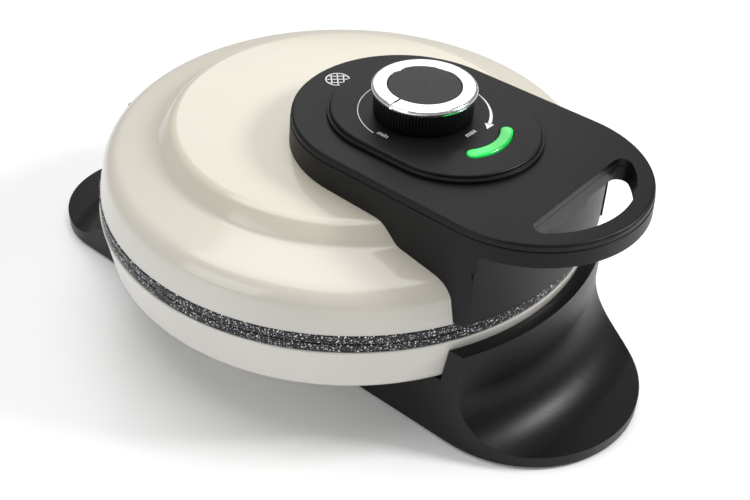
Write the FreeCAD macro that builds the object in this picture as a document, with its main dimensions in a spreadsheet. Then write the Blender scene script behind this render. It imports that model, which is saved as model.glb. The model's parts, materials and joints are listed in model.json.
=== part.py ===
"""A round waffle maker: two cast plates in pressed shells, on a moulded base, with a loop handle on the lid.

Frame: +Z up, the handle points along -Y, X = 0 is the plane of symmetry, Z = 0 is the surface it stands on.
Lengths are millimetres. Every driving dimension is a cell of the sheet "dims".
"""
import FreeCAD, Part
import math
import os

import Sketcher

Z_AXIS = FreeCAD.Vector(0, 0, 1)

# ---------------------------------------------------------------- driving dimensions
DIMENSIONS = {
    # heights above the table
    "base_bottom": 1.5, "deck_top": 33.0, "rim_top": 55.5, "seam": 59.4, "plate_gap": 0.3,
    "lid_rim": 63.6, "cover_bottom": 104.5, "cover_top": 107.8, "panel_top": 111.0,
    "knob_bottom": 111.7, "ring_bottom": 121.0, "ring_top": 123.4,
    # shells
    "shell_wall": 1.2, "rim_radius": 110.0, "lid_rim_radius": 108.8, "shell_bottom_radius": 107.0,
    # cast plates
    "plate_radius": 109.3, "cavity_radius": 90.0, "cavity_depth": 9.0, "floor_thickness": 4.0, "flange_thickness": 3.9,
    "post_height": 6.0, "post_side": 13.0, "post_pitch": 18.0, "post_draft": 12.0,
    "boss_radius": 5.0, "boss_top": 89.5, "screw_radius": 2.0, "screw_head_radius": 3.6, "screw_head": 2.6,
    # heating elements and their pans
    "heater_radius": 62.0, "heater_wire": 3.25, "pan_radius": 86.0, "pan_wall": 0.8,
    # base
    "base_wall": 2.5, "column_half": 51.0, "front_arc_y": 101.0, "column_rear": 116.0,
    "pedestal_top": 51.0, "pedestal_radius": 115.5, "flare": 24.0, "foot_rim": 7.0,
    "rear_half": 68.0, "rear_end": 150.0, "rear_start": 60.0, "rear_corner": 40.0, "rear_top": 18.0,
    "cradle_gap": 0.3, "pillar_radius": 4.5, "cover_screw_radius": 1.5,
    "rubber_radius": 7.0, "rubber_height": 1.5,
    # hinge
    "axis_y": 117.5, "axis_z": 54.0, "pin_radius": 2.5, "ear_radius": 6.0, "knuckle_radius": 5.5,
    "ear_half": 24.5, "knuckle_half": 14.7, "ear_gap_half": 15.0, "running_gap": 0.05,
    "arm_half": 13.0, "arm_thickness": 3.0,
    # handle
    "handle_radius": 48.0, "skirt_radius": 50.0, "skirt_bottom": 64.0, "skirt_draft": 2.827,
    "handle_rear": 31.0, "handle_front": 92.0, "handle_wall": 2.5,
    "handle_floor": 97.5, "loop_bottom": 97.8, "loop_inner": 40.5, "grip_rear": 112.6,
    "grip_corner": 4.0, "front_face": 113.0, "panel_inner": 109.6, "panel_outer": 112.2,
    "panel_bottom": 63.8, "panel_slot_top": 95.0, "panel_slot_half": 47.8, "panel_angle": 50.1,
    "panel_corner": 6.0,
    # control panel and lens
    "bezel_radius": 35.0, "bezel_rear": 33.5, "bezel_front": 56.5, "lens_inner": 16.6, "lens_outer": 22.4,
    # knob and thermostat
    "knob_y": 39.0, "knob_radius": 20.4, "ring_outer": 21.4, "ring_inner": 15.0, "shaft_radius": 3.0,
    "bush_radius": 5.0, "bush_bore": 3.05, "thermostat_bottom": 73.8,
}

doc = FreeCAD.newDocument("waffle_maker")
sheet = doc.addObject("Spreadsheet::Sheet", "dims")
for row, (alias, number) in enumerate(DIMENSIONS.items(), 1):
    sheet.set("A%d" % row, alias)
    sheet.set("B%d" % row, str(number))
    sheet.setAlias("B%d" % row, alias)
doc.recompute()


class Size:
    """A length read from the sheet, with the expression that keeps a feature bound to it."""

    def __init__(self, number, text):
        self.number = number
        self.text = text

    def _join(self, sign, other, number):
        other = as_size(other)
        return Size(number(self.number, other.number), "(%s %s %s)" % (self.text, sign, other.text))

    def __add__(self, other):
        return self._join("+", other, lambda a, b: a + b)

    def __sub__(self, other):
        return self._join("-", other, lambda a, b: a - b)

    def __mul__(self, other):
        return self._join("*", other, lambda a, b: a * b)

    def __truediv__(self, other):
        return self._join("/", other, lambda a, b: a / b)

    def __rsub__(self, other):
        return as_size(other) - self

    def __neg__(self):
        return Size(-self.number, "(-1 * %s)" % self.text)


class Sheet:
    """Gives each cell of the sheet as a Size, by its alias."""

    def __getattr__(self, alias):
        return Size(float(getattr(sheet, alias)), "dims.%s" % alias)


D = Sheet()


def as_size(value):
    """value itself if it is a Size, or a Size of that plain number."""
    return value if isinstance(value, Size) else Size(float(value), repr(float(value)))


def bind(feature, prop, value):
    """Sets a property of a feature from the sheet."""
    feature.setExpression(prop, as_size(value).text)


# ---------------------------------------------------------------- sketches and features
def new_body(label):
    body = doc.addObject("PartDesign::Body", label)
    body.Label = label
    return body


def new_sketch(body, plane, height=0.0):
    """A sketch on one of the body's own planes (XY, XZ or YZ), moved along the plane's normal by height."""
    sketch = body.newObject("Sketcher::SketchObject", body.Label + "_sketch")
    origin = [f for f in body.Origin.OriginFeatures if f.Role == plane + "_Plane"][0]
    sketch.AttachmentSupport = (origin, "")
    sketch.MapMode = "FlatFace"
    bind(sketch, "AttachmentOffset.Base.z", height)
    return sketch


def pin_vertex(sketch, geo, pos, x, y):
    """Holds one end of a line or arc at (x, y), bound to the sheet."""
    for kind, axis, value in (("DistanceX", -2, as_size(x)), ("DistanceY", -1, as_size(y))):
        if abs(value.number) < 1e-9:
            sketch.addConstraint(Sketcher.Constraint("PointOnObject", geo, pos, axis))
            continue
        index = sketch.addConstraint(Sketcher.Constraint(kind, -1, 1, geo, pos, value.number))
        bind(sketch, "Constraints[%d]" % index, value)


def arc_between(start, end, radius):
    """The arc from start to end of that radius: its centre is on the left for a positive radius."""
    middle = (start + end) * 0.5
    along = end - start
    reach = math.sqrt(max(radius * radius - along.Length * along.Length / 4.0, 0.0))
    left = FreeCAD.Vector(-along.y, along.x, 0).normalize()
    centre = middle + left * math.copysign(reach, radius)
    first, second = (start, end) if radius > 0 else (end, start)
    angles = [math.atan2(p.y - centre.y, p.x - centre.x) for p in (first, second)]
    if angles[1] <= angles[0]:
        angles[1] += 2 * math.pi
    return Part.ArcOfCircle(Part.Circle(centre, Z_AXIS, abs(radius)), angles[0], angles[1])


def draw(sketch, points):
    """A closed outline. Each point is (x, y), or (x, y, radius) where an arc of that radius leads to it."""
    places = [FreeCAD.Vector(as_size(p[0]).number, as_size(p[1]).number, 0) for p in points]
    ends = []
    for i, point in enumerate(points):
        start, end = places[i - 1], places[i]
        if len(point) == 3:
            radius = as_size(point[2]).number
            geo = sketch.addGeometry(arc_between(start, end, radius))
            ends.append((geo, 1, 2) if radius > 0 else (geo, 2, 1))
        else:
            geo = sketch.addGeometry(Part.LineSegment(start, end))
            ends.append((geo, 1, 2))
    for i, point in enumerate(points):
        geo, _, last = ends[i]
        following, first, _ = ends[(i + 1) % len(ends)]
        sketch.addConstraint(Sketcher.Constraint("Coincident", geo, last, following, first))
        pin_vertex(sketch, geo, last, point[0], point[1])
        if len(point) == 3:
            radius = as_size(point[2])
            size = radius if radius.number > 0 else -radius
            index = sketch.addConstraint(Sketcher.Constraint("Radius", geo, size.number))
            bind(sketch, "Constraints[%d]" % index, size)


def draw_circle(sketch, x, y, radius):
    centre = FreeCAD.Vector(as_size(x).number, as_size(y).number, 0)
    geo = sketch.addGeometry(Part.Circle(centre, Z_AXIS, as_size(radius).number))
    pin_vertex(sketch, geo, 3, x, y)
    index = sketch.addConstraint(Sketcher.Constraint("Radius", geo, as_size(radius).number))
    bind(sketch, "Constraints[%d]" % index, radius)


def changed(body, before, grows):
    """Recomputes the body and stops if its last feature didn't add or remove material."""
    doc.recompute()
    volume = body.Shape.Volume
    if (volume - before) * (1 if grows else -1) <= 1e-6:
        raise RuntimeError("%s: the last feature changed nothing" % body.Label)


def volume_of(body):
    doc.recompute()
    return body.Shape.Volume if body.Tip is not None and not body.Shape.isNull() else 0.0


def pad(body, sketch, length, middle=False, taper=0.0):
    before = volume_of(body)
    feature = body.newObject("PartDesign::Pad", body.Label + "_pad")
    feature.Profile = sketch
    bind(feature, "Length", length)
    feature.SideType = "Symmetric" if middle else "One side"
    bind(feature, "TaperAngle", taper)
    changed(body, before, True)
    return feature


def pocket(body, sketch, length=None, reverse=True, middle=False):
    """Cuts along the sketch's normal (reverse=True) by length, or right through when length is None."""
    before = volume_of(body)
    feature = body.newObject("PartDesign::Pocket", body.Label + "_pocket")
    feature.Profile = sketch
    if length is None:
        feature.Type = "ThroughAll"
    else:
        bind(feature, "Length", length)
    feature.SideType = "Symmetric" if middle else "One side"
    feature.Reversed = reverse
    changed(body, before, False)
    return feature


def turned(body, sketch, cut=False, angle=360.0):
    """A revolution about the sketch's vertical axis, or a groove when cut is true."""
    before = volume_of(body)
    kind = "Groove" if cut else "Revolution"
    feature = body.newObject("PartDesign::" + kind, body.Label + "_" + kind.lower())
    feature.Profile = sketch
    feature.ReferenceAxis = (sketch, ["V_Axis"])
    bind(feature, "Angle", angle)
    if as_size(angle).number < 360.0:
        feature.Midplane = True
    changed(body, before, not cut)
    return feature


def round_edges(body, radius, wanted):
    """Fillets the edges of the body that wanted(edge) picks."""
    base = body.Tip
    before = volume_of(body)
    names = ["Edge%d" % (i + 1) for i, edge in enumerate(base.Shape.Edges) if wanted(edge)]
    if not names:
        raise RuntimeError("%s: no edge to round" % body.Label)
    feature = body.newObject("PartDesign::Fillet", body.Label + "_fillet")
    feature.Base = (base, names)
    bind(feature, "Radius", radius)
    changed(body, before, False)


def flat_edge(height, tolerance=0.01):
    """Picks every edge that lies wholly at that height."""
    def wanted(edge):
        box = edge.BoundBox
        level = as_size(height).number
        return abs(box.ZMin - level) < tolerance and abs(box.ZMax - level) < tolerance
    return wanted


# ---------------------------------------------------------------- outlines that several pieces share
def stadium(radius, rear, front):
    """Two half circles of that radius about (0, -rear) and (0, -front), joined by straight sides."""
    return [
        (-radius, -rear), (0, radius - rear, -radius), (radius, -rear, -radius),
        (radius, -front), (0, -front - radius, -radius), (-radius, -front, -radius),
    ]


def grip_hole():
    """The finger opening in the loop: a straight rear edge, a curved front one and round ends between them."""
    inner, corner = D.loop_inner, D.grip_corner
    drop = D.grip_rear - D.handle_front + corner
    reach = (inner - corner).number
    half = math.sqrt(reach ** 2 - drop.number ** 2)
    stretch = inner.number / reach
    side = (half * stretch, -D.handle_front.number - drop.number * stretch)
    return [
        (-half, -D.grip_rear, -corner), (half, -D.grip_rear), (side[0], side[1], -corner),
        (0, -D.handle_front - inner, -inner), (-side[0], side[1], -inner),
    ]


def arc_slot(margin):
    """A curved slot with round ends about the front end of the control panel, for the lens."""
    inner = D.lens_inner - margin
    outer = D.lens_outer + margin
    end = (outer - inner) / 2.0 + 0.03
    half_angle = math.radians(LENS_HALF_ANGLE)
    c, s = math.cos(half_angle), math.sin(half_angle)
    return [
        (-outer * s, -D.bezel_front - outer * c, end), (0, -D.bezel_front - outer, outer),
        (outer * s, -D.bezel_front - outer * c, outer),
        (inner * s, -D.bezel_front - inner * c, end), (0, -D.bezel_front - inner, -inner),
        (-inner * s, -D.bezel_front - inner * c, -inner),
    ]


def column_outline(inset):
    """Plan of the base's middle and front foot, a slot with a round front end."""
    half = D.column_half - inset
    return [
        (-half, D.column_rear - inset), (half, D.column_rear - inset),
        (half, -D.front_arc_y), (0, -D.front_arc_y - half, -half), (-half, -D.front_arc_y, -half),
    ]


def rear_outline(inset):
    """Plan of the rear foot, with round rear corners."""
    half = D.rear_half - inset
    corner = D.rear_corner - inset
    back = D.rear_end - inset
    return [
        (-half, D.rear_start + inset), (half, D.rear_start + inset), (half, back - corner),
        (half - corner, back, corner), (-half + corner, back), (-half, back - corner, corner),
    ]


def lid_outer():
    """Outer profile of the lid's shell, from its rim to its centre, as (radius, height)."""
    return [
        (D.lid_rim_radius, D.lid_rim), (107.0, 72.0), (98.0, 81.5, 10.5), (85.0, 84.3),
        (81.6, 86.4, -5.0), (77.6, 90.7), (73.5, 92.5, 6.0), (45.0, 93.9), (0, 94.6),
    ]


def lid_inner():
    """Inner profile of the lid's shell, from its centre to its rim."""
    return [
        (0, 93.4), (45.0, 92.7), (73.3, 91.3), (76.7, 89.9, -4.8), (80.7, 85.6), (84.8, 83.1, 6.0),
        (97.8, 80.3), (105.8, 72.0, -9.3), (D.lid_rim_radius - D.shell_wall, D.lid_rim),
    ]


def four_corners(x, y):
    return [(x, y), (-x, y), (-x, -y), (x, -y)]


PLATE_SCREWS = four_corners(38.0, 68.0)
COVER_SCREWS = [(38.0, -30.0), (-38.0, -30.0), (38.0, 45.0), (-38.0, 45.0)]
HANDLE_SCREWS = [(28.0, -8.0), (-28.0, -8.0), (28.0, -66.0), (-28.0, -66.0)]
LOOP_SCREWS = [(33.9, -120.4), (-33.9, -120.4)]
ARM_SCREWS = [(7.0, 101.0), (-7.0, 101.0)]
RUBBER_PLACES = [(27.0, -122.0), (-27.0, -122.0), (48.0, 122.0), (-48.0, 122.0)]
HEATER_SPAN = 320.0
LENS_HALF_ANGLE = 35.0
RIBS = 96
TERMINAL_SPAN = 330.0


def pins(label, places, foot, head_radius, head, shank_radius, shank, head_down=True):
    """A set of screws: heads from foot upwards, or shanks first when head_down is false."""
    body = new_body(label)
    shank_foot = foot + head if head_down else foot
    head_foot = foot if head_down else foot + shank
    for level, radius, length in ((head_foot, head_radius, head), (shank_foot, shank_radius, shank)):
        sketch = new_sketch(body, "XY", level)
        for x, y in places:
            draw_circle(sketch, x, y, radius)
        pad(body, sketch, length)
    return body


def holes(body, places, height, radius, length=None, reverse=True):
    """Round holes upwards from height (reverse=True) or downwards."""
    sketch = new_sketch(body, "XY", height)
    for x, y in places:
        draw_circle(sketch, x, y, radius)
    pocket(body, sketch, length, reverse)


# ---------------------------------------------------------------- base
def base_frame():
    """The moulded base: front pedestal, deck, rear foot and hinge tower, hollow from below."""
    outer = new_body("base_outer")
    sketch = new_sketch(outer, "XY", D.base_bottom)
    draw(sketch, column_outline(0.0))
    pad(outer, sketch, D.pedestal_top - D.base_bottom)
    sketch = new_sketch(outer, "XY", D.base_bottom)
    draw(sketch, rear_outline(0.0))
    pad(outer, sketch, D.rear_top - D.base_bottom)

    sketch = new_sketch(outer, "XZ")
    draw(sketch, flare_region(0.0))
    turned(outer, sketch, cut=True)

    sketch = new_sketch(outer, "XZ")
    gap = D.cradle_gap
    draw(sketch, [
        (0, D.deck_top), (D.shell_bottom_radius + gap, D.deck_top), (D.rim_radius + gap, D.rim_top),
        (D.rim_radius + gap, 80.0), (0, 80.0),
    ])
    turned(outer, sketch, cut=True)

    tower = new_sketch(outer, "YZ")
    ear = D.ear_radius
    draw(tower, [
        (D.axis_y + ear, 10.0), (D.axis_y + ear, D.axis_z), (D.axis_y, D.axis_z + ear, ear),
        (D.axis_y - ear, D.axis_z, ear), (D.axis_y - ear, 10.0),
    ])
    pad(outer, tower, D.ear_half * 2, middle=True)
    sketch = new_sketch(outer, "XZ")
    gap_half = D.ear_gap_half
    draw(sketch, [(-gap_half, 46.5), (gap_half, 46.5), (gap_half, 70.0), (-gap_half, 70.0)])
    pocket(outer, sketch, 140.0, reverse=False)
    sketch = new_sketch(outer, "YZ")
    draw_circle(sketch, D.axis_y, D.axis_z, D.pin_radius)
    pocket(outer, sketch, D.ear_half * 2 + 2.0, middle=True)
    holes(outer, PLATE_SCREWS, D.deck_top - 6.0, D.screw_radius + 0.3)

    hollow = new_body("base_hollow")
    wall = D.base_wall
    sketch = new_sketch(hollow, "XY")
    draw(sketch, column_outline(wall))
    pad(hollow, sketch, D.deck_top - 3.0)
    sketch = new_sketch(hollow, "XY")
    draw(sketch, rear_outline(wall))
    pad(hollow, sketch, D.rear_top - wall)
    sketch = new_sketch(hollow, "XZ")
    draw(sketch, flare_region(wall))
    turned(hollow, sketch, cut=True)
    sketch = new_sketch(hollow, "XY", D.base_bottom + 2.0)
    for x, y in COVER_SCREWS:
        draw_circle(sketch, x, y, D.pillar_radius)
    pocket(hollow, sketch)
    sketch = new_sketch(hollow, "XY")
    for x, y in COVER_SCREWS:
        draw_circle(sketch, x, y, D.cover_screw_radius)
    pad(hollow, sketch, 14.0)
    gland = new_sketch(hollow, "XZ")
    draw_circle(gland, 0, 22.0, 6.0)
    feature = pad(hollow, gland, 130.0)
    feature.Reversed = True

    frame = doc.addObject("Part::Cut", "base_frame")
    frame.Base = outer
    frame.Tool = hollow
    return frame


def flare_region(inset):
    """The space outside the pedestal's concave skirt, as a region to turn away."""
    wall_radius = D.pedestal_radius - inset
    rim = D.foot_rim - inset
    return [
        (wall_radius, 70.0), (wall_radius, rim + D.flare), (wall_radius + D.flare, rim, D.flare),
        (170.0, rim), (170.0, 70.0),
    ]


def base_cover():
    """The flat plate that closes the base from below."""
    body = new_body("base_cover")
    for outline in (column_outline(D.base_wall), rear_outline(D.base_wall)):
        sketch = new_sketch(body, "XY", D.base_bottom)
        draw(sketch, outline)
        pad(body, sketch, 2.0)
    holes(body, COVER_SCREWS, 0.0, D.cover_screw_radius + 0.2)
    holes(body, COVER_SCREWS, 0.0, 3.0, D.base_bottom + 0.8)
    vents = new_sketch(body, "XY")
    for i in range(7):
        y = -60.0 + 12.0 * i
        draw(vents, [(-18.0, y), (18.0, y), (18.0, y + 3.0), (-18.0, y + 3.0)])
    pocket(body, vents)
    return body


def rubber_feet():
    body = new_body("rubber_feet")
    sketch = new_sketch(body, "XY")
    for x, y in RUBBER_PLACES:
        draw_circle(sketch, x, y, D.rubber_radius)
    pad(body, sketch, D.rubber_height)
    round_edges(body, 0.6, flat_edge(0.0))
    return body


def lower_shell():
    body = new_body("lower_shell")
    wall = D.shell_wall
    foot = D.deck_top
    sketch = new_sketch(body, "XZ")
    draw(sketch, [
        (0, foot), (D.shell_bottom_radius - 5.0, foot), (D.shell_bottom_radius + 0.3, foot + 5.0, 5.2),
        (D.rim_radius, D.rim_top), (D.rim_radius - wall, D.rim_top),
        (D.shell_bottom_radius + 0.3 - wall, foot + 5.0),
        (D.shell_bottom_radius - 5.0, foot + wall, -4.0), (0, foot + wall),
    ])
    turned(body, sketch)
    holes(body, PLATE_SCREWS, D.deck_top - 1.0, D.screw_radius + 0.3)
    holes(body, [(0, 30.0)], D.deck_top - 1.0, 9.0)
    return body


def post_centres():
    """Centres of the square posts that print the waffle's pockets, inside the round cavity."""
    pitch = D.post_pitch.number
    reach = D.cavity_radius.number - D.post_side.number * 0.62
    steps = [pitch * (i + 0.5) for i in range(-6, 6)]
    return [(x, y) for x in steps for y in steps if math.hypot(abs(x) + 3, abs(y) + 3) < reach]


def waffle_plate(label, face, up):
    """A cast plate: flange, round cavity with square posts, and bosses behind. up is 1 when its cavity faces up."""
    body = new_body(label)
    sign = -float(up)
    edge = D.flange_thickness
    side = D.cavity_radius + D.floor_thickness
    back = (D.cavity_depth + D.floor_thickness) * sign
    sketch = new_sketch(body, "XZ")
    outline = [
        (0, face + back), (side - 3.0, face + back), (side, face + back - 3.0 * sign),
        (side, face + edge * sign), (D.plate_radius, face + edge * sign), (D.plate_radius, face),
        (D.cavity_radius, face), (D.cavity_radius - 1.5, face + D.cavity_depth * sign),
        (0, face + D.cavity_depth * sign),
    ]
    draw(sketch, outline)
    turned(body, sketch)
    return body


def waffle_posts(label, face, up):
    """The square tapered posts of one plate, as separate solids that stand on the cavity's floor."""
    foot = (face - D.cavity_depth * float(up)).number
    height = D.post_height.number * up
    lean = D.post_height.number * math.tan(math.radians(D.post_draft.number))
    solids = []
    for x, y in post_centres():
        wires = []
        for half, level in ((D.post_side.number / 2, foot), (D.post_side.number / 2 - lean, foot + height)):
            corners = [FreeCAD.Vector(x + i * half, y + j * half, level) for i, j in
                       ((-1, -1), (1, -1), (1, 1), (-1, 1), (-1, -1))]
            wires.append(Part.makePolygon(corners))
        solids.append(Part.makeLoft(wires, True, True))
    posts = doc.addObject("Part::Feature", label + "_posts")
    posts.Shape = Part.makeCompound(solids)
    return posts


def joined(label, first, second):
    """One casting made of two touching objects."""
    fused = doc.addObject("Part::Fuse", label)
    fused.Base = first
    fused.Tool = second
    doc.recompute()
    return fused


def lower_plate():
    body = waffle_plate("lower_casting", D.seam, 1)
    foot = D.deck_top + D.shell_wall
    back = D.seam - D.cavity_depth - D.floor_thickness
    sketch = new_sketch(body, "XY", foot)
    for x, y in PLATE_SCREWS:
        draw_circle(sketch, x, y, D.boss_radius)
    pad(body, sketch, back - foot)
    holes(body, PLATE_SCREWS, foot, D.screw_radius, 11.0)
    return joined("lower_plate", body, waffle_posts("lower", D.seam, 1))


def upper_plate():
    face = D.seam + D.plate_gap
    body = waffle_plate("upper_casting", face, -1)
    back = face + D.cavity_depth + D.floor_thickness
    sketch = new_sketch(body, "XY", back)
    for x, y in HANDLE_SCREWS:
        draw_circle(sketch, x, y, D.boss_radius)
    pad(body, sketch, D.boss_top - back)
    holes(body, HANDLE_SCREWS, D.boss_top, D.screw_radius, 12.0, reverse=False)
    sketch = new_sketch(body, "XY", face + D.flange_thickness)
    for x, y in ARM_SCREWS:
        draw_circle(sketch, x, y, 4.0)
    pad(body, sketch, 2.2)
    holes(body, ARM_SCREWS, 65.8, 1.5, 5.0, reverse=False)
    return joined("upper_plate", body, waffle_posts("upper", face, -1))


def heater(label, level):
    """A sheathed heating element bent into an open ring, with its two terminal pins."""
    body = new_body(label)
    for radius, span in ((D.heater_wire, HEATER_SPAN), (D.heater_wire * 0.4, TERMINAL_SPAN)):
        sketch = new_sketch(body, "YZ")
        draw_circle(sketch, -D.heater_radius, level, radius)
        turned(body, sketch, angle=span)
    return body


def reflector(label, level, sign, places, window):
    """A thin pan that throws the heat back at the plate: a disc with a turned rim."""
    body = new_body(label)
    wall = D.pan_wall
    edge = 3.3
    sketch = new_sketch(body, "XZ")
    draw(sketch, [
        (0, level), (D.pan_radius - wall, level), (D.pan_radius - wall, level - edge * sign),
        (D.pan_radius, level - edge * sign), (D.pan_radius, level + wall * sign), (0, level + wall * sign),
    ])
    turned(body, sketch)
    holes(body, places, level - 2.0, D.boss_radius + 0.4)
    holes(body, [window[:2]], level - 2.0, window[2])
    return body


def hinge_pin():
    body = new_body("hinge_pin")
    sketch = new_sketch(body, "YZ")
    draw_circle(sketch, D.axis_y, D.axis_z, D.pin_radius)
    pad(body, sketch, D.ear_half * 2, middle=True)
    return body


def cord_gland():
    """The bush that a mains lead would pass through, in the back of the hinge tower."""
    body = new_body("cord_gland")
    face = D.axis_y + D.ear_radius
    for offset, radius, length in ((3.0, 8.0, 3.0), (0.0, 6.0, 8.0)):
        sketch = new_sketch(body, "XZ", -(face + offset))
        draw_circle(sketch, 0, 22.0, radius)
        draw_circle(sketch, 0, 22.0, 3.6)
        pad(body, sketch, length)
    return body


def terminal_block():
    body = new_body("terminal_block")
    sketch = new_sketch(body, "XY", D.deck_top - 15.0)
    draw(sketch, [(-17.0, 72.0), (17.0, 72.0), (17.0, 88.0), (-17.0, 88.0)])
    pad(body, sketch, 12.0)
    sketch = new_sketch(body, "XZ")
    for i in range(3):
        draw_circle(sketch, -11.0 + 11.0 * i, D.deck_top - 9.0, 2.0)
    pocket(body, sketch, 100.0, reverse=False)
    holes(body, [(-11.0, 80.0), (0, 80.0), (11.0, 80.0)], D.deck_top - 15.0, 1.6, 5.0)
    return body


# ---------------------------------------------------------------- lid
def upper_shell():
    body = new_body("upper_shell")
    sketch = new_sketch(body, "XZ")
    draw(sketch, lid_outer() + lid_inner())
    turned(body, sketch)
    holes(body, HANDLE_SCREWS, 80.0, D.screw_radius + 0.3)
    holes(body, [(0, -D.knob_y)], 80.0, 8.0)
    slot = new_sketch(body, "XZ")
    half = D.arm_half + 0.5
    draw(slot, [(-half, 60.0), (half, 60.0), (half, 69.6), (-half, 69.6)])
    pocket(body, slot, 130.0, reverse=False)
    return body


def handle_frame():
    """The lower part of the handle: skirt on the lid, two front pillars and the bottom of the loop."""
    body = new_body("handle_frame")
    sketch = new_sketch(body, "XY", D.skirt_bottom)
    draw(sketch, stadium(D.skirt_radius, D.handle_rear, D.handle_front))
    pad(body, sketch, D.cover_bottom - D.skirt_bottom, taper=-D.skirt_draft)

    sketch = new_sketch(body, "XZ")
    draw(sketch, [(0, 50.0), (D.lid_rim_radius, 50.0)] + lid_outer())
    turned(body, sketch, cut=True)

    sketch = new_sketch(body, "XZ")
    draw(sketch, [(D.front_face, 50.0), (160.0, 50.0), (160.0, D.loop_bottom), (D.front_face, D.loop_bottom)])
    turned(body, sketch, cut=True)

    inner = D.handle_radius - D.handle_wall
    sketch = new_sketch(body, "XY", D.handle_floor)
    draw(sketch, [
        (-inner, -D.handle_rear), (0, inner - D.handle_rear, -inner), (inner, -D.handle_rear, -inner),
        (inner, -98.0), (28.0, -109.4), (-28.0, -109.4), (-inner, -98.0),
    ])
    pocket(body, sketch)

    half, top, corner = D.panel_slot_half, D.panel_slot_top, D.panel_corner
    sketch = new_sketch(body, "XZ", 84.0)
    draw(sketch, [
        (-half, 50.0), (half, 50.0), (half, top - corner), (half - corner, top, corner),
        (-half + corner, top), (-half, top - corner, corner),
    ])
    pocket(body, sketch, 32.0)

    sketch = new_sketch(body, "XY", 80.0)
    draw(sketch, grip_hole())
    pocket(body, sketch)
    holes(body, HANDLE_SCREWS, 80.0, D.screw_radius + 0.3)
    holes(body, [(0, -D.knob_y)], 80.0, 8.0)
    holes(body, LOOP_SCREWS, 90.0, 1.2)
    holes(body, LOOP_SCREWS, 90.0, 2.6, D.loop_bottom + 2.0 - 90.0)
    return body


def handle_cover():
    """The top of the handle, one flat piece from the lid's centre to the end of the loop."""
    body = new_body("handle_cover")
    sketch = new_sketch(body, "XY", D.cover_bottom)
    draw(sketch, stadium(D.handle_radius - 0.3, D.handle_rear, D.handle_front))
    pad(body, sketch, D.cover_top - D.cover_bottom)
    round_edges(body, 1.4, flat_edge(D.cover_top))
    sketch = new_sketch(body, "XY", D.cover_bottom - 1.0)
    draw(sketch, grip_hole())
    pocket(body, sketch)
    holes(body, [(0, -D.knob_y)], D.cover_bottom - 1.0, 6.0)
    sketch = new_sketch(body, "XY", D.cover_bottom - 1.0)
    draw(sketch, arc_slot(-1.5))
    pocket(body, sketch)
    holes(body, LOOP_SCREWS, D.cover_bottom - 1.0, 1.2, 3.2)
    return body


def front_panel():
    """The curved panel under the loop, between the handle's two pillars."""
    body = new_body("front_panel")
    sketch = new_sketch(body, "YZ")
    draw(sketch, [
        (-D.panel_outer, D.panel_bottom), (-D.panel_inner, D.panel_bottom),
        (-D.panel_inner, D.panel_slot_top), (-D.panel_outer, D.panel_slot_top),
    ])
    turned(body, sketch, angle=D.panel_angle)
    at_top = flat_edge(D.panel_slot_top)
    round_edges(body, D.panel_corner, lambda edge: at_top(edge) and edge.Length < 4.0)
    return body


def control_panel():
    """The raised panel round the knob and the lamp, with a two-step edge."""
    body = new_body("control_panel")
    sketch = new_sketch(body, "XY", D.cover_top)
    draw(sketch, stadium(D.bezel_radius, D.bezel_rear, D.bezel_front))
    pad(body, sketch, 1.6)
    sketch = new_sketch(body, "XY", D.cover_top + 1.6)
    draw(sketch, stadium(D.bezel_radius - 1.2, D.bezel_rear, D.bezel_front))
    pad(body, sketch, D.panel_top - D.cover_top - 1.6)
    round_edges(body, 0.9, flat_edge(D.panel_top))
    holes(body, [(0, -D.knob_y)], 100.0, 6.0)
    sketch = new_sketch(body, "XY", 100.0)
    draw(sketch, arc_slot(0.0))
    pocket(body, sketch)
    return body


def indicator_lens():
    body = new_body("indicator_lens")
    sketch = new_sketch(body, "XY", D.cover_top)
    draw(sketch, arc_slot(0.0))
    pad(body, sketch, D.panel_top - D.cover_top + 0.8)
    return body


def indicator_lamp():
    """The neon lamp in its holder, under the lens."""
    body = new_body("indicator_lamp")
    sketch = new_sketch(body, "XY", D.handle_floor)
    draw(sketch, [(-9.0, -82.0), (9.0, -82.0), (9.0, -74.0), (-9.0, -74.0)])
    pad(body, sketch, 2.0)
    sketch = new_sketch(body, "YZ")
    draw_circle(sketch, -78.0, D.handle_floor + 4.0, 2.5)
    pad(body, sketch, 16.0, middle=True)
    return body


def thermostat():
    """The adjustable thermostat: foot on the plate, ceramic stack and threaded bush for the shaft."""
    body = new_body("thermostat")
    foot = D.seam + D.plate_gap + D.cavity_depth + D.floor_thickness
    y = -D.knob_y
    sketch = new_sketch(body, "XY", foot)
    draw(sketch, [(-14.0, y - 8.0), (14.0, y - 8.0), (14.0, y + 8.0), (-14.0, y + 8.0)])
    pad(body, sketch, 2.0)
    level = foot + 2.0
    for radius, length in ((5.5, 3.0), (7.5, 4.0), (5.5, 1.2), (7.0, 4.0), (D.bush_radius, 14.0)):
        sketch = new_sketch(body, "XY", level)
        draw_circle(sketch, 0, y, radius)
        pad(body, sketch, length)
        level = level + length
    holes(body, [(0, y)], foot + 8.0, D.bush_bore)
    return body


def thermal_fuse():
    """The one-shot fuse in its sleeve, clipped to the back of the upper plate."""
    body = new_body("thermal_fuse")
    foot = D.seam + D.plate_gap + D.cavity_depth + D.floor_thickness
    sketch = new_sketch(body, "YZ")
    draw_circle(sketch, 20.0, foot + 3.0, 3.0)
    pad(body, sketch, 26.0, middle=True)
    sketch = new_sketch(body, "XY", foot)
    draw(sketch, [(-4.0, 12.0), (4.0, 12.0), (4.0, 28.0), (-4.0, 28.0)])
    pad(body, sketch, 1.0)
    return body


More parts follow.
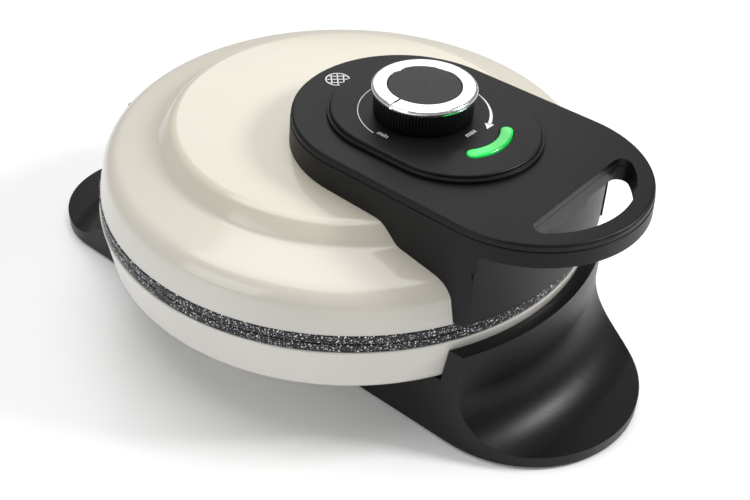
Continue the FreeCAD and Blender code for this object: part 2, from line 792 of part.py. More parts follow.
def lid_hinge_arm():
    """The steel arm screwed to the upper plate, which turns about the hinge pin."""
    body = new_body("lid_hinge_arm")
    top = 68.8
    thickness = D.arm_thickness
    web = D.axis_y - 3.2
    sketch = new_sketch(body, "YZ")
    draw(sketch, [
        (95.0, top - thickness), (web - thickness, top - thickness + 0.0), (web - thickness, D.axis_z + 1.0),
        (D.axis_y, D.axis_z + 1.0), (D.axis_y, D.axis_z + 5.0), (web, D.axis_z + 6.0), (web, top), (95.0, top),
    ])
    pad(body, sketch, D.arm_half * 2, middle=True)
    sketch = new_sketch(body, "YZ")
    draw_circle(sketch, D.axis_y, D.axis_z, D.knuckle_radius)
    pad(body, sketch, D.knuckle_half * 2, middle=True)
    sketch = new_sketch(body, "YZ")
    draw_circle(sketch, D.axis_y, D.axis_z, D.pin_radius + D.running_gap)
    pocket(body, sketch, D.knuckle_half * 2 + 2.0, middle=True)
    holes(body, ARM_SCREWS, 60.0, 1.7)
    return body


# ---------------------------------------------------------------- knob
def knob_body():
    """The ribbed body of the knob, on the thermostat's shaft."""
    body = new_body("knob_body")
    y = -D.knob_y
    sketch = new_sketch(body, "XY", D.knob_bottom)
    draw_circle(sketch, 0, 0, D.knob_radius)
    pad(body, sketch, D.ring_bottom - D.knob_bottom)
    sketch = new_sketch(body, "XY", D.knob_bottom)
    draw_circle(sketch, D.knob_radius + 0.15, 0, 0.55)
    before = volume_of(body)
    feature = body.newObject("PartDesign::Pocket", "knob_body_flute")
    feature.Profile = sketch
    feature.Reversed = True
    feature.Type = "ThroughAll"
    changed(body, before, False)
    ribs = body.newObject("PartDesign::PolarPattern", "knob_body_flutes")
    ribs.Originals = [feature]
    ribs.Axis = ([f for f in body.Origin.OriginFeatures if f.Role == "Z_Axis"][0], [""])
    ribs.Angle = 360
    ribs.Occurrences = RIBS
    body.Tip = ribs
    doc.recompute()
    sketch = new_sketch(body, "XY", D.knob_bottom)
    draw_circle(sketch, 0, 0, D.knob_radius - 3.0)
    draw_circle(sketch, 0, 0, D.shaft_radius + 3.0)
    pocket(body, sketch, 6.5)
    holes(body, [(0, 0)], D.knob_bottom, D.shaft_radius, 7.5)
    bind(body, "Placement.Base.y", y)
    return body


def knob_ring():
    """The bright ring on top of the knob, with a pointer notch cut on the minimum side."""
    body = new_body("knob_ring")
    sketch = new_sketch(body, "XZ")
    low, top = D.ring_bottom, D.ring_top
    draw(sketch, [
        (D.ring_inner, low), (D.ring_outer, low), (D.ring_outer, top - 0.9),
        (D.ring_outer - 0.9, top, 1.0), (D.ring_inner, top),
    ])
    turned(body, sketch)
    sketch = new_sketch(body, "XY", D.ring_top - 0.6)
    draw(sketch, [(-30.0, -0.6), (-16.5, -0.6), (-16.5, 0.6), (-30.0, 0.6)])
    pocket(body, sketch, 2.0)
    bind(body, "Placement.Base.y", -D.knob_y)
    return body


def knob_cap():
    body = new_body("knob_cap")
    sketch = new_sketch(body, "XY", D.ring_bottom)
    draw_circle(sketch, 0, 0, D.ring_inner)
    pad(body, sketch, D.ring_top - D.ring_bottom - 0.3)
    bind(body, "Placement.Base.y", -D.knob_y)
    return body


def thermostat_shaft():
    body = new_body("thermostat_shaft")
    foot = D.seam + D.plate_gap + D.cavity_depth + D.floor_thickness + 9.0
    sketch = new_sketch(body, "XY", foot)
    draw_circle(sketch, 0, 0, D.shaft_radius)
    pad(body, sketch, D.knob_bottom + 7.5 - foot)
    bind(body, "Placement.Base.y", -D.knob_y)
    return body


# ---------------------------------------------------------------- the whole assembly
def build():
    lower_level = D.seam - D.cavity_depth - D.floor_thickness - D.heater_wire
    upper_level = D.seam + D.plate_gap + D.cavity_depth + D.floor_thickness + D.heater_wire
    pan_low = D.deck_top + D.shell_wall + 3.3
    parts = [
        base_frame(), base_cover(), rubber_feet(), lower_shell(), lower_plate(),
        heater("lower_heater", lower_level),
        reflector("lower_reflector", pan_low, 1.0, PLATE_SCREWS, (0.0, 30.0, 9.0)),
        hinge_pin(), cord_gland(), terminal_block(),
        pins("plate_screws", PLATE_SCREWS, D.deck_top - 5.6, D.screw_head_radius, D.screw_head,
             D.screw_radius, 14.0),
        pins("base_cover_screws", COVER_SCREWS, D.base_bottom - 1.0, 2.8, 1.8, D.cover_screw_radius, 10.0),
        upper_shell(), upper_plate(), heater("upper_heater", upper_level),
        reflector("upper_reflector", upper_level + D.heater_wire + 1.0, 1.0, HANDLE_SCREWS,
                  (0.0, -D.knob_y.number, 19.0)),
        thermostat(), thermal_fuse(), lid_hinge_arm(),
        pins("hinge_screws", ARM_SCREWS, D.seam + D.plate_gap + 1.5, 3.2, 2.0, 1.5, 7.6, head_down=False),
        handle_frame(), handle_cover(), front_panel(), control_panel(), indicator_lens(), indicator_lamp(),
        pins("handle_screws", HANDLE_SCREWS, D.handle_floor - 17.0, D.screw_head_radius, D.screw_head,
             D.screw_radius, 17.0, head_down=False),
        pins("loop_screws", LOOP_SCREWS, D.loop_bottom, 2.4, 2.0, 1.2, 6.4),
        knob_body(), knob_ring(), knob_cap(), thermostat_shaft(),
    ]
    doc.recompute()
    return parts


def check(parts):
    """Stops if any object failed or any sub-part's shape is missing or broken."""
    for item in doc.Objects:
        if {"Invalid", "Error"} & set(item.State):
            raise RuntimeError("%s is in state %s" % (item.Label, item.State))
    for part in parts:
        if part.Shape.isNull() or not part.Shape.isValid():
            raise RuntimeError("%s has no valid shape" % part.Label)


def write(parts):
    os.makedirs("parts", exist_ok=True)
    for part in parts:
        part.Shape.exportStep("parts/%s.step" % part.Label)
        print("%-20s %9.0f mm3" % (part.Label, part.Shape.Volume))


PARTS = build()
check(PARTS)
write(PARTS)
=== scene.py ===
"""Looks of the round waffle maker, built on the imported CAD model.

The model's own frame: +Z up, the handle points along -Y, Z = 0 is the table. Shapes are given in
millimetres and scaled by MM when a mesh is made, since Blender works in metres. The floor, the
lights and the camera are given in metres.
"""

import json
import math

import bmesh
import bpy
from mathutils import Matrix, Vector

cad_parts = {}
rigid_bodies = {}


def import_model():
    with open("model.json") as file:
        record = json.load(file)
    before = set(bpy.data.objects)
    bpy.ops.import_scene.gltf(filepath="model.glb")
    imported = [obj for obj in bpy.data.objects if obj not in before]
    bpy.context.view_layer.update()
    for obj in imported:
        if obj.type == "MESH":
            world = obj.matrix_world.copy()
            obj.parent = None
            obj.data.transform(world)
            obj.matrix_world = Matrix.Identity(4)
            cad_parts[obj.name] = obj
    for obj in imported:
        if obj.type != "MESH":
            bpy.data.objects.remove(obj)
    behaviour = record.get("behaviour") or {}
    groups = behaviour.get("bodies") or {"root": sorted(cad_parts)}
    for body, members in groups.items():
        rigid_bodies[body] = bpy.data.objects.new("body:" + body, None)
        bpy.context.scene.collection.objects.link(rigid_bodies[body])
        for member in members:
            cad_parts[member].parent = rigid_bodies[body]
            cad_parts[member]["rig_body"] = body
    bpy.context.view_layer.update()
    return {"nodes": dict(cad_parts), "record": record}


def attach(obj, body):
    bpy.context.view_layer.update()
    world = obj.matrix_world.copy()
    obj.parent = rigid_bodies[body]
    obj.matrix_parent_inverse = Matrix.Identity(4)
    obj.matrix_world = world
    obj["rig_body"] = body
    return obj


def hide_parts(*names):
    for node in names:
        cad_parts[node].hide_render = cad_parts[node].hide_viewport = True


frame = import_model()
NODES = frame["nodes"]
SLOT_OF = {part["node"]: part["material_slot"] for part in frame["record"]["subparts"]}
MM = 0.001

# Colours, linear RGB
# The deeper cream is painted shade for the lid's top; the pale cream is the sides' colour.
CREAM_SHADED_TOP = (0.61, 0.565, 0.465)
CREAM_PALE = (0.64, 0.62, 0.575)
BLACK = (0.0035, 0.0035, 0.004)
BLACK_PALE = (0.005, 0.005, 0.0055)
CAP_GREY = (0.02, 0.02, 0.022)
CAP_GREY_PALE = (0.026, 0.026, 0.028)
RUBBER = (0.02, 0.02, 0.02)
RUBBER_PALE = (0.035, 0.035, 0.035)
SPECK_GROUND = (0.006, 0.0065, 0.008)
SPECK_GROUND_PALE = (0.016, 0.017, 0.02)
SPECK_PALE = (0.85, 0.86, 0.88)
LENS_DEEP = (0.0, 0.3, 0.03)
LENS_BRIGHT = (0.01, 0.62, 0.09)
WHITE = (1.0, 1.0, 1.0, 1.0)

# Each kind of speck: its cells per metre, its radius as a share of a cell, and how many cells
# stay empty, from 0 to 1
SPECKS = ((620.0, 0.27, 0.68), (1150.0, 0.32, 0.6), (2100.0, 0.36, 0.74))
SPECK_EDGE = 0.08
SPUN_GRAIN = (1.0, 1.0, 0.1)
SOCKET_NAMES = {"specular_ior_level": "Specular IOR Level"}


# ---------------------------------------------------------------- materials
class Finish:
    """A material and its node tree, built one node at a time in the object's own coordinates."""

    def __init__(self, name, colour, roughness, metallic=0.0):
        self.material = bpy.data.materials.new(name)
        self.material.use_nodes = True
        self.tree = self.material.node_tree
        self.shader = self.tree.nodes["Principled BSDF"]
        self.place = self.tree.nodes.new("ShaderNodeTexCoord").outputs["Object"]
        self.set(base_color=(*colour, 1.0), roughness=roughness, metallic=metallic)

    def set(self, **values):
        """Sets or links sockets of the shader, named in lower case with underscores."""
        for key, value in values.items():
            name = SOCKET_NAMES.get(key, key.replace("_", " ").title())
            self.put(self.shader.inputs[name], value)

    def put(self, socket, value):
        """Links a socket to value where value is a socket, and sets it to value where it isn't."""
        if isinstance(value, bpy.types.NodeSocket):
            self.tree.links.new(value, socket)
        else:
            socket.default_value = value

    def node(self, kind, inputs, **settings):
        """A new shader node of that kind, with its settings and inputs given."""
        made = self.tree.nodes.new("ShaderNode" + kind)
        for key, value in settings.items():
            setattr(made, key, value)
        for key, value in inputs.items():
            self.put(made.inputs[key], value)
        return made

    def noise(self, scale, detail=2.0, place=None):
        """Noise whose cells are 1 / scale metres wide."""
        inputs = {"Vector": place or self.place, "Scale": scale, "Detail": detail}
        return self.node("TexNoise", inputs).outputs["Fac"]

    def stretched(self, x, y, z):
        """The object's coordinates with each axis scaled, for a grain that runs one way."""
        made = self.node("Mapping", {"Vector": self.place, "Scale": (x, y, z)})
        return made.outputs["Vector"]

    def span(self, value, low, high, start=0.3, end=0.7):
        """value mapped from start..end to low..high."""
        inputs = {"Value": value, "From Min": start, "From Max": end,
                  "To Min": low, "To Max": high}
        return self.node("MapRange", inputs).outputs["Result"]

    def math(self, operation, first, second):
        return self.node("Math", {0: first, 1: second}, operation=operation).outputs[0]

    def mix(self, share, first, second):
        """Colour first where share is 0 and colour second where it is 1."""
        made = self.tree.nodes.new("ShaderNodeMix")
        made.data_type = "RGBA"
        sockets = [s for s in made.inputs if s.type == "RGBA"]
        self.put(made.inputs[0], share)
        for socket, colour in zip(sockets, (first, second)):
            linked = isinstance(colour, bpy.types.NodeSocket)
            self.put(socket, colour if linked else (*colour, 1.0))
        return [s for s in made.outputs if s.type == "RGBA"][0]

    def bump(self, height, strength, depth):
        """Bump of that height map, depth in millimetres."""
        inputs = {"Height": height, "Strength": strength, "Distance": depth * MM}
        self.put(self.shader.inputs["Normal"], self.node("Bump", inputs).outputs["Normal"])


def enamel():
    """Glossy cream enamel, clear coated, with the lid's top painted a little darker and warmer
    than the sides as painted shade.
    """
    f = Finish("cream_enamel_finish", CREAM_SHADED_TOP, 0.3)
    # Painted shade: from 66 mm up to 90 mm the colour turns to the darker, warmer top colour,
    # standing in for how light falls on the lid's top.
    height = f.node("SeparateXYZ", {"Vector": f.place}).outputs["Z"]
    painted_top_shade = f.span(height, 0.0, 1.0, 0.066, 0.09)
    cloud = f.span(f.noise(11.0, 1.0), -0.12, 0.12)
    f.set(base_color=f.mix(f.math("ADD", painted_top_shade, cloud), CREAM_PALE, CREAM_SHADED_TOP))
    f.set(roughness=f.span(f.noise(60.0, 2.0), 0.2, 0.26))
    f.set(coat_weight=0.5, coat_roughness=0.08)
    f.bump(f.noise(150.0, 0.0), 0.05, 0.02)
    return f.material


def plastic(name, dark, pale, roughness, grain, relief):
    """Moulded plastic or rubber with the fine grain of a spark-eroded mould."""
    f = Finish(name, dark, roughness)
    f.set(base_color=f.mix(f.span(f.noise(35.0, 4.0), 0.0, 1.0), dark, pale))
    fine = f.noise(grain, 2.0)
    f.set(roughness=f.span(fine, roughness - 0.05, roughness + 0.07))
    f.set(specular_ior_level=0.22)
    f.bump(fine, relief, 0.06)
    return f.material


def speckled():
    """Dark non-stick coating with scattered pale specks of three sizes."""
    f = Finish("speckled_coating_finish", SPECK_GROUND, 0.42)
    mottle = f.span(f.noise(900.0, 3.0), 0.0, 1.0)
    ground = f.mix(mottle, SPECK_GROUND, SPECK_GROUND_PALE)
    share = None
    for scale, reach, rarity in SPECKS:
        cells = f.node("TexVoronoi", {"Vector": f.place, "Scale": scale})
        draw = f.node("SeparateColor", {"Color": cells.outputs["Color"]}).outputs[0]
        chosen = f.math("GREATER_THAN", draw, rarity)
        disc = f.span(cells.outputs["Distance"], 1.0, 0.0, reach - SPECK_EDGE, reach)
        dot = f.math("MULTIPLY", chosen, disc)
        share = dot if share is None else f.math("MAXIMUM", share, dot)
    f.set(base_color=f.mix(share, ground, SPECK_PALE))
    f.set(roughness=f.span(f.noise(1500.0), 0.34, 0.48), specular_ior_level=0.3)
    f.bump(f.noise(1100.0, 3.0), 0.25, 0.04)
    return f.material


def metal(name, dark, pale, roughness, along=(1.0, 1.0, 1.0), scale=900.0, relief=0.08):
    """Metal whose tone and roughness follow a fine grain."""
    f = Finish(name, pale, roughness, 1.0)
    grain = f.noise(scale, 3.0, f.stretched(*along))
    f.set(base_color=f.mix(f.span(grain, 0.0, 1.0), dark, pale))
    f.set(roughness=f.span(grain, roughness - 0.04, roughness + 0.08))
    f.bump(grain, relief, 0.01)
    return f.material


def ceramic():
    """Unglazed white ceramic."""
    f = Finish("ceramic_white_finish", (0.8, 0.78, 0.72), 0.6)
    f.set(base_color=f.mix(f.noise(600.0, 3.0), (0.74, 0.72, 0.66), (0.84, 0.83, 0.78)))
    f.bump(f.noise(1800.0), 0.3, 0.03)
    return f.material


def lens():
    """Green lens with a painted glow: it emits its own green light, with soft brighter and deeper
    patches.
    """
    f = Finish("green_lens_finish", LENS_DEEP, 0.16)
    painted_glow_share = f.span(f.noise(70.0, 1.0), 0.0, 1.0, 0.3, 0.6)
    colour = f.mix(painted_glow_share, LENS_DEEP, LENS_BRIGHT)
    # Painted glow: the lens emits light, though no lamp in the scene shines through it.
    f.set(base_color=colour, emission_color=colour, emission_strength=0.42)
    f.set(coat_weight=0.6, coat_roughness=0.06)
    f.bump(f.noise(500.0), 0.1, 0.02)
    return f.material


def lamp_glass():
    """Pale green glass, smooth."""
    f = Finish("lamp_glass_finish", (0.8, 0.9, 0.8), 0.1)
    f.set(base_color=f.mix(f.noise(300.0), (0.75, 0.86, 0.76), (0.85, 0.93, 0.85)))
    f.bump(f.noise(700.0), 0.05, 0.01)
    return f.material


def print_ink():
    """White printing ink, with the faint mottle of a pad print."""
    f = Finish("print_ink_finish", (0.8, 0.8, 0.8), 0.5)
    f.set(base_color=f.mix(f.noise(1500.0, 3.0), (0.7, 0.7, 0.7), (0.86, 0.86, 0.86)))
    f.bump(f.noise(2500.0), 0.1, 0.01)
    return f.material


SATIN_BLACK = plastic("satin_black_finish", BLACK, BLACK_PALE, 0.42, 2400.0, 0.22)
BASE_BLACK = plastic("base_black_finish", BLACK, BLACK_PALE, 0.36, 1700.0, 0.3)
KNOB_BLACK = plastic("knob_black_finish", BLACK, BLACK_PALE, 0.34, 2600.0, 0.15)
CAP_FINISH = plastic("knob_cap_finish", CAP_GREY, CAP_GREY_PALE, 0.4, 3000.0, 0.2)
SLOT_FINISH = {
    "black_plastic": SATIN_BLACK,
    "rubber": plastic("rubber_finish", RUBBER, RUBBER_PALE, 0.75, 1500.0, 0.4),
    "cream_enamel": enamel(),
    "speckled_coating": speckled(),
    "heater_steel": metal("heater_steel_finish", (0.2, 0.18, 0.16), (0.38, 0.36, 0.34), 0.45),
    "reflector_aluminium": metal("reflector_aluminium_finish", (0.68, 0.69, 0.7),
                                 (0.84, 0.85, 0.86), 0.25, SPUN_GRAIN),
    "zinc_steel": metal("zinc_steel_finish", (0.5, 0.5, 0.48), (0.7, 0.7, 0.68), 0.3),
    "ceramic_white": ceramic(),
    "green_lens": lens(),
    "lamp_glass": lamp_glass(),
    "chrome_ring": metal("chrome_ring_finish", (0.86, 0.87, 0.88), (0.94, 0.94, 0.95), 0.13,
                         scale=400.0, relief=0.01),
}
INK = print_ink()

# ---------------------------------------------------------------- mesh helpers
WELD = 1e-7             # metres within which points of a new mesh are one
CAD_WELD = 2e-6         # metres within which points of a CAD mesh are one
FLAT_ANGLE = 0.4        # degrees below which neighbouring CAD facets merge
BEVEL_SEGMENTS = 3
FLUTE_BAND = 0.9        # mm inside the outermost radius that the flutes still reach


def dress(piece, material, body, nodes=()):
    """Gives a new piece its finish and its body, and hides the CAD nodes it stands for."""
    piece.data.materials.clear()
    piece.data.materials.append(material)
    if nodes:
        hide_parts(*nodes)
    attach(piece, body)


def new_piece(name, data):
    piece = bpy.data.objects.new(name, data)
    bpy.context.scene.collection.objects.link(piece)
    return piece


def built(bm, name):
    """The piece made of that bmesh, which is freed."""
    mesh = bpy.data.meshes.new(name)
    bm.to_mesh(mesh)
    bm.free()
    return new_piece(name, mesh)


def smoothed(piece, sharp=35.0):
    """Smooth shading, with edges sharper than that many degrees kept crisp."""
    piece.data.shade_smooth()
    piece.data.set_sharp_from_angle(angle=math.radians(sharp))
    return piece


def arc_points(start, end, radius, count=10):
    """Points of the arc from start (left out) to end.

    The arc's centre is on the left for a positive radius and on the right for a negative one.
    """
    start, end = Vector(start), Vector(end)
    along = end - start
    reach = math.sqrt(max(radius * radius - along.length_squared / 4.0, 0.0))
    left = Vector((-along.y, along.x)).normalized()
    centre = (start + end) / 2.0 + left * math.copysign(reach, radius)
    first = math.atan2(*(start - centre).yx)
    turn = math.atan2(*(end - centre).yx) - first
    if radius > 0 and turn <= 0:
        turn += 2 * math.pi
    if radius < 0 and turn >= 0:
        turn -= 2 * math.pi
    angles = [first + turn * (i + 1) / count for i in range(count)]
    return [tuple(centre + abs(radius) * Vector((math.cos(a), math.sin(a)))) for a in angles]


def outline(points):
    """A closed outline with its arcs divided.

    Each point is (x, y), or (x, y, radius) at the end of an arc.
    """
    made = []
    for i, point in enumerate(points):
        if len(point) == 3:
            made += arc_points(points[i - 1][:2], point[:2], point[2])
        else:
            made.append(tuple(point))
    return made


def lathe(name, profile, steps, centre=(0.0, 0.0), flutes=0, depth=0.0):
    """A ring turned about the vertical through centre from a closed profile of (radius, height).

    flutes cuts that many rounded grooves of that depth into the profile's outermost radius.
    """
    outer = max(r for r, _ in profile)
    bm = bmesh.new()
    rings = []
    for i in range(steps):
        angle = 2 * math.pi * i / steps
        dip = depth * max(0.0, math.cos(flutes * angle)) if flutes else 0.0
        ring = []
        for r, z in profile:
            radius = r - dip if r > outer - FLUTE_BAND else r
            x = centre[0] + radius * math.cos(angle)
            y = centre[1] + radius * math.sin(angle)
            ring.append(bm.verts.new((x * MM, y * MM, z * MM)))
        rings.append(ring)
    for i, ring in enumerate(rings):
        after = rings[(i + 1) % steps]
        for j in range(len(profile)):
            k = (j + 1) % len(profile)
            bm.faces.new((ring[j], after[j], after[k], ring[k]))
    bmesh.ops.remove_doubles(bm, verts=bm.verts, dist=WELD)
    bmesh.ops.recalc_face_normals(bm, faces=bm.faces)
    return built(bm, name)


def sheet_of(name, shapes, low, high):
    """Flat shapes of (x, y) corners, each extruded from low to high, as one mesh."""
    bm = bmesh.new()
    for shape in shapes:
        bottom = [bm.verts.new((x * MM, y * MM, low * MM)) for x, y in shape]
        top = [bm.verts.new((x * MM, y * MM, high * MM)) for x, y in shape]
        bm.faces.new(bottom)
        bm.faces.new(top)
        for i in range(len(shape)):
            k = (i + 1) % len(shape)
            bm.faces.new((bottom[i], bottom[k], top[k], top[i]))
    bmesh.ops.recalc_face_normals(bm, faces=bm.faces)
    return built(bm, name)


def stacked(name, outlines):
    """A closed solid through outlines of equally many (x, y, z) points, from the lowest up."""
    bm = bmesh.new()
    layers = [[bm.verts.new((x * MM, y * MM, z * MM)) for x, y, z in points]
              for points in outlines]
    for lower, upper in zip(layers, layers[1:]):
        for i in range(len(lower)):
            k = (i + 1) % len(lower)
            bm.faces.new((lower[i], lower[k], upper[k], upper[i]))
    bm.faces.new(layers[-1])
    bm.faces.new(layers[0])
    bmesh.ops.recalc_face_normals(bm, faces=bm.faces)
    return built(bm, name)


def cut_box(piece, low, high):
    """Cuts the box from low to high out of a piece."""
    (x0, y0, z0), (x1, y1, z1) = low, high
    cutter = sheet_of("cutter", [[(x0, y0), (x1, y0), (x1, y1), (x0, y1)]], z0, z1)
    cut = piece.modifiers.new("cut", "BOOLEAN")
    cut.operation = "DIFFERENCE"
    cut.solver = "EXACT"
    cut.object = cutter
    graph = bpy.context.evaluated_depsgraph_get()
    graph.update()
    mesh = bpy.data.meshes.new_from_object(piece.evaluated_get(graph))
    piece.modifiers.clear()
    piece.data = mesh
    bpy.data.objects.remove(cutter)


def softened(node, name, width, material=None, angle=52.0, clamp=False):
    """A copy of a CAD node stands for it, its edges rounded to that width.

    Edges sharper than angle, in degrees, are rounded. clamp narrows the rounding where it would
    run into itself.
    """
    source = NODES[node]
    mesh = source.data.copy()
    mesh.name = name
    bm = bmesh.new()
    bm.from_mesh(mesh)
    bmesh.ops.remove_doubles(bm, verts=bm.verts, dist=CAD_WELD)
    bmesh.ops.dissolve_limit(bm, angle_limit=math.radians(FLAT_ANGLE), verts=bm.verts,
                             edges=bm.edges)
    for element in (*bm.faces, *bm.edges):
        element.smooth = True
    bm.to_mesh(mesh)
    bm.free()
    piece = new_piece(name, mesh)
    bevel = piece.modifiers.new("edges", "BEVEL")
    bevel.width = width * MM
    bevel.segments = BEVEL_SEGMENTS
    bevel.limit_method = "ANGLE"
    bevel.angle_limit = math.radians(angle)
    bevel.use_clamp_overlap = clamp
    weighted = piece.modifiers.new("normals", "WEIGHTED_NORMAL")
    weighted.keep_sharp = True
    slot = SLOT_OF[node]
    dress(piece, material or SLOT_FINISH[slot], source["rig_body"], (node,))


# ---------------------------------------------------------------- shells
TURN_STEPS = 320
LID_PROFILE = [
    (108.8, 63.6), (107.0, 72.0), (98.0, 81.5, 10.5), (85.0, 84.3), (81.6, 86.4, -5.0),
    (77.6, 90.7), (73.5, 92.5, 6.0), (45.0, 93.9), (0.5, 94.6), (0.5, 93.4), (45.0, 92.7),
    (73.3, 91.3), (76.7, 89.9, -4.8), (80.7, 85.6), (84.8, 83.1, 6.0), (97.8, 80.3),
    (105.8, 72.0, -9.3), (107.6, 63.6),
]
BOWL_PROFILE = [
    (0.5, 33.0), (102.0, 33.0), (107.3, 38.0, 5.2), (110.0, 55.1), (109.7, 55.5), (109.1, 55.5),
    (108.8, 55.1), (106.1, 38.0), (102.0, 34.2, -4.0), (0.5, 34.2),
]
HINGE_SLOT = ((-13.5, 60.0, 60.0), (13.5, 130.0, 69.6))

lid_skin = lathe("lid_skin", outline(LID_PROFILE), TURN_STEPS)
cut_box(lid_skin, *HINGE_SLOT)
dress(smoothed(lid_skin), SLOT_FINISH["cream_enamel"], "lid", ("upper_shell",))
bowl_skin = lathe("bowl_skin", outline(BOWL_PROFILE), TURN_STEPS)
dress(smoothed(bowl_skin), SLOT_FINISH["cream_enamel"], "base",
      ("lower_shell",))

# ---------------------------------------------------------------- softened CAD pieces
softened("lower_plate", "lower_waffle_plate", 0.5)
softened("upper_plate", "upper_waffle_plate", 0.5)
softened("base_frame", "moulded_base", 0.9, BASE_BLACK, angle=32.0, clamp=True)
softened("handle_frame", "handle_skirt", 0.3)
softened("handle_cover", "handle_top", 0.35)
softened("front_panel", "front_infill", 0.8)
softened("control_panel", "control_deck", 0.3)
softened("cord_gland", "cord_bush", 0.8, BASE_BLACK)
softened("rubber_feet", "feet_pads", 0.4)
softened("lid_hinge_arm", "hinge_arm", 0.4)

# ---------------------------------------------------------------- knob
KNOB = (0.0, -39.0)
FLUTES, FLUTE_DEPTH, GRIP_STEPS = 96, 0.4, 960
GRIP_PROFILE = [
    (6.0, 111.7), (19.6, 111.7), (20.4, 112.4, 0.8), (20.4, 120.2), (19.8, 121.0, 0.9),
    (6.0, 121.0),
]
BEZEL_PROFILE = [
    (15.0, 121.0), (21.0, 121.0), (21.4, 121.4, 0.4), (21.4, 122.2), (20.1, 123.4, 1.4),
    (15.5, 123.4), (15.0, 122.9, 0.5),
]
CAP_PROFILE = [(0.3, 121.0), (14.9, 121.0), (14.9, 122.6), (14.5, 123.0, 0.4), (0.3, 123.0)]
POINTER_NOTCH = ((-30.0, -39.45, 121.4), (-10.0, -38.55, 130.0))

grip = lathe("knob_grip", outline(GRIP_PROFILE), GRIP_STEPS, KNOB, FLUTES, FLUTE_DEPTH)
dress(smoothed(grip, 50.0), KNOB_BLACK, "knob", ("knob_body",))
bezel = lathe("knob_bezel", outline(BEZEL_PROFILE), TURN_STEPS, KNOB)
cut_box(bezel, *POINTER_NOTCH)
dress(smoothed(bezel, 40.0), SLOT_FINISH["chrome_ring"], "knob", ("knob_ring",))
cap = lathe("knob_face", outline(CAP_PROFILE), TURN_STEPS, KNOB)
dress(smoothed(cap, 40.0), CAP_FINISH, "knob", ("knob_cap",))

# ---------------------------------------------------------------- lens
LENS_CENTRE_Y, LENS_RADIUS, LENS_HALF_ANGLE = -56.5, 19.5, math.radians(35.0)
# (half width, height), from the lens's foot to its crown
LENS_LAYERS = ((2.6, 108.0), (2.6, 111.2), (2.5, 111.45), (2.25, 111.65), (1.8, 111.78),
               (1.2, 111.8))


def lens_outline(half, arc=30, tip=10):
    """Outline of the curved lens with round ends, that far from its centreline."""
    def at(angle, radius):
        return Vector((radius * math.sin(angle), LENS_CENTRE_Y - radius * math.cos(angle)))
    points = []
    for side in (1.0, -1.0):
        end = side * LENS_HALF_ANGLE
        points += [at(end * (2.0 * i / arc - 1.0), LENS_RADIUS + side * half)
                   for i in range(arc)]
        radial = Vector((math.sin(end), -math.cos(end)))
        ahead = Vector((math.cos(end), math.sin(end))) * side
        for i in range(tip):
            turn = math.pi * i / tip
            away = radial * side * math.cos(turn) + ahead * math.sin(turn)
            points.append(at(end, LENS_RADIUS) + away * half)
    return points


window = stacked("lamp_window",
                 [[(x, y, z) for x, y in lens_outline(half)] for half, z in LENS_LAYERS])
dress(smoothed(window, 50.0), SLOT_FINISH["green_lens"], "lid",
      ("indicator_lens",))

# ---------------------------------------------------------------- printed marks
PANEL_TOP, COVER_TOP, INK_DEPTH = 111.0, 107.8, 0.05
# Two bands round the knob: radius, first and last angle, first and last width
SCALE_BAND = (26.5, 171.0, 89.0, 0.35, 0.35)
ARROW_BAND = (27.5, -18.0, -68.0, 0.3, 1.5)
# The arrow's head: radius, angle, length, half width
ARROW_HEAD = (27.5, -67.0, 4.2, 1.9)
ICON, ICON_RADIUS, ICON_RIM = (-0.9, 6.6), 5.0, 0.5
GRID_REACH, GRID_OFFSETS, GRID_HALF = 4.4, (-2.6, 0.0, 2.6), 0.25
GRID_ANGLES = (math.radians(45.0), math.radians(135.0))
LETTER_SIZE = 3.6


def band(centre, radius, start, end, first_width, last_width, count=64):
    """A curved band about centre, between two angles in degrees, whose width changes evenly."""
    inner, outer = [], []
    for i in range(count + 1):
        share = i / count
        angle = math.radians(start + (end - start) * share)
        half = (first_width + (last_width - first_width) * share) / 2.0
        for side, reach in ((inner, radius - half), (outer, radius + half)):
            side.append((centre[0] + reach * math.cos(angle),
                         centre[1] + reach * math.sin(angle)))
    return [[inner[i], outer[i], outer[i + 1], inner[i + 1]] for i in range(count)]


def arrow_head(centre, radius, angle, length, half):
    """A triangle that points along a circle, the way the angle falls."""
    a = math.radians(angle)
    out = Vector((math.cos(a), math.sin(a)))
    ahead = Vector((math.sin(a), -math.cos(a)))
    base = Vector(centre) + out * radius
    return [tuple(base + out * half), tuple(base - out * half), tuple(base + ahead * length)]


def grid_line(offset, angle):
    """One line of the icon's grid, turned by angle and that far from the icon's centre."""
    reach = math.sqrt(GRID_REACH ** 2 - offset ** 2)
    c, s = math.cos(angle), math.sin(angle)
    corners = ((-reach, -GRID_HALF), (reach, -GRID_HALF), (reach, GRID_HALF), (-reach, GRID_HALF))
    return [(ICON[0] + u * c - (v + offset) * s, ICON[1] + u * s + (v + offset) * c)
            for u, v in corners]


def lettering(name, text, x, y, angle, level):
    """A short word as flat ink, centred on (x, y) and turned by that many degrees."""
    curve = bpy.data.curves.new(name, "FONT")
    curve.body = text
    curve.size = LETTER_SIZE * MM
    curve.extrude = INK_DEPTH * MM / 2.0
    curve.align_x = "CENTER"
    curve.align_y = "CENTER"
    source = new_piece(name + "_source", curve)
    source.matrix_world = (Matrix.Translation(Vector((x, y, level)) * MM)
                           @ Matrix.Rotation(math.radians(angle), 4, "Z"))
    bpy.context.view_layer.update()
    graph = bpy.context.evaluated_depsgraph_get()
    mesh = bpy.data.meshes.new_from_object(source.evaluated_get(graph))
    mesh.transform(source.matrix_world)
    bpy.data.objects.remove(source)
    dress(new_piece(name, mesh), INK, "lid")


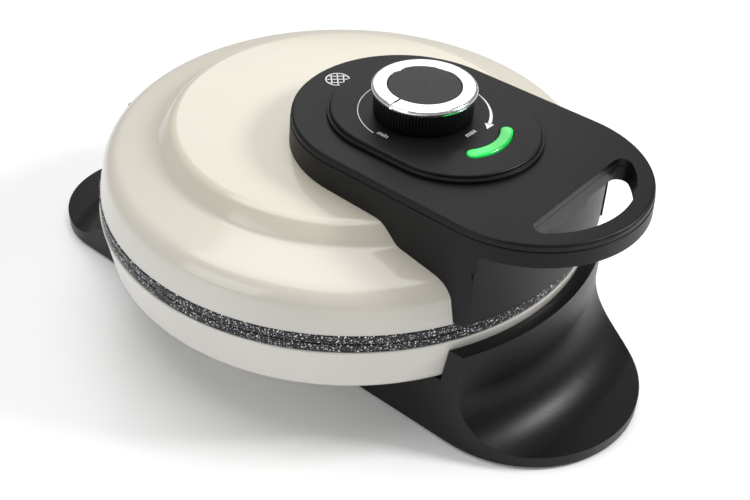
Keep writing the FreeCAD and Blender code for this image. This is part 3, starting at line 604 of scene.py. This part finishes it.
dial = band(KNOB, *SCALE_BAND) + band(KNOB, *ARROW_BAND) + [arrow_head(KNOB, *ARROW_HEAD)]
dress(sheet_of("dial_marks", dial, PANEL_TOP, PANEL_TOP + INK_DEPTH), INK, "lid")
icon = band(ICON, ICON_RADIUS, 0.0, 360.0, ICON_RIM, ICON_RIM, 48)
icon += [grid_line(offset, angle) for offset in GRID_OFFSETS for angle in GRID_ANGLES]
dress(sheet_of("waffle_icon", icon, COVER_TOP, COVER_TOP + INK_DEPTH), INK, "lid")
lettering("low_mark", "min", -24.6, -38.6, -90.0, PANEL_TOP)
lettering("high_mark", "max", 0.0, -62.9, 0.0, PANEL_TOP)

# ---------------------------------------------------------------- finishes of the CAD nodes
for node, source in NODES.items():
    source.data.materials.clear()
    source.data.materials.append(SLOT_FINISH[SLOT_OF[node]])

# ---------------------------------------------------------------- floor, light and camera
FLOOR_RADIUS, FLOOR_SIDES, FLOOR_GLOW = 4.0, 96, 0.06
WORLD_STRENGTH = 0.3
# name, place, target, width, height, watts
SOFTBOXES = (
    ("top_light", (0.0, 0.15, 1.2), (0.0, 0.0, 0.05), 1.1, 1.1, 9.0),
    ("far_light", (0.85, 0.7, 0.88), (0.0, 0.0, 0.1), 0.9, 0.7, 2.8),
    ("left_light", (-1.1, 0.2, 0.45), (0.0, 0.0, 0.05), 0.7, 0.7, 3.0),
    ("front_light", (0.55, -0.75, 0.75), (0.05, -0.1, 0.04), 0.28, 0.28, 9.0),
)
FOCAL_LENGTH, SENSOR_WIDTH = 54.9, 36.0
AZIMUTH, ELEVATION, ROLL = math.radians(-51.0), math.radians(38.47), 0.042
TARGET, DISTANCE = Vector((0.0083, -0.0103, 0.0188)), 0.539

bm = bmesh.new()
bmesh.ops.create_circle(bm, cap_ends=True, segments=FLOOR_SIDES, radius=FLOOR_RADIUS)
floor = built(bm, "floor")
paint = Finish("floor_finish", (0.93, 0.93, 0.93), 0.35)
paint.set(base_color=paint.mix(paint.noise(2.0), (0.92, 0.92, 0.92), (0.94, 0.94, 0.94)))
paint.set(emission_color=WHITE, emission_strength=FLOOR_GLOW)
floor.data.materials.append(paint.material)

world = bpy.data.worlds.new("studio")
world.use_nodes = True
background = world.node_tree.nodes["Background"].inputs
background["Color"].default_value = WHITE
background["Strength"].default_value = WORLD_STRENGTH
bpy.context.scene.world = world

for name, place, target, width, height, power in SOFTBOXES:
    light = bpy.data.lights.new(name, "AREA")
    light.shape = "RECTANGLE"
    light.size = width
    light.size_y = height
    light.energy = power
    box = new_piece(name, light)
    box.location = place
    box.rotation_euler = (Vector(target) - Vector(place)).to_track_quat("-Z", "Y").to_euler()

camera_data = bpy.data.cameras.new("camera")
camera_data.lens = FOCAL_LENGTH
camera_data.sensor_width = SENSOR_WIDTH
camera = new_piece("camera", camera_data)
back = Vector((math.sin(AZIMUTH) * math.cos(ELEVATION),
               -math.cos(AZIMUTH) * math.cos(ELEVATION), math.sin(ELEVATION)))
level_right = Vector((math.cos(AZIMUTH), math.sin(AZIMUTH), 0.0))
level_up = back.cross(level_right)
right = level_right * math.cos(ROLL) + level_up * math.sin(ROLL)
up = level_up * math.cos(ROLL) - level_right * math.sin(ROLL)
camera.matrix_world = (Matrix.Translation(TARGET + back * DISTANCE)
                       @ Matrix((right, up, back)).transposed().to_4x4())
bpy.context.scene.camera = camera
bpy.context.scene.view_settings.view_transform = "Standard"
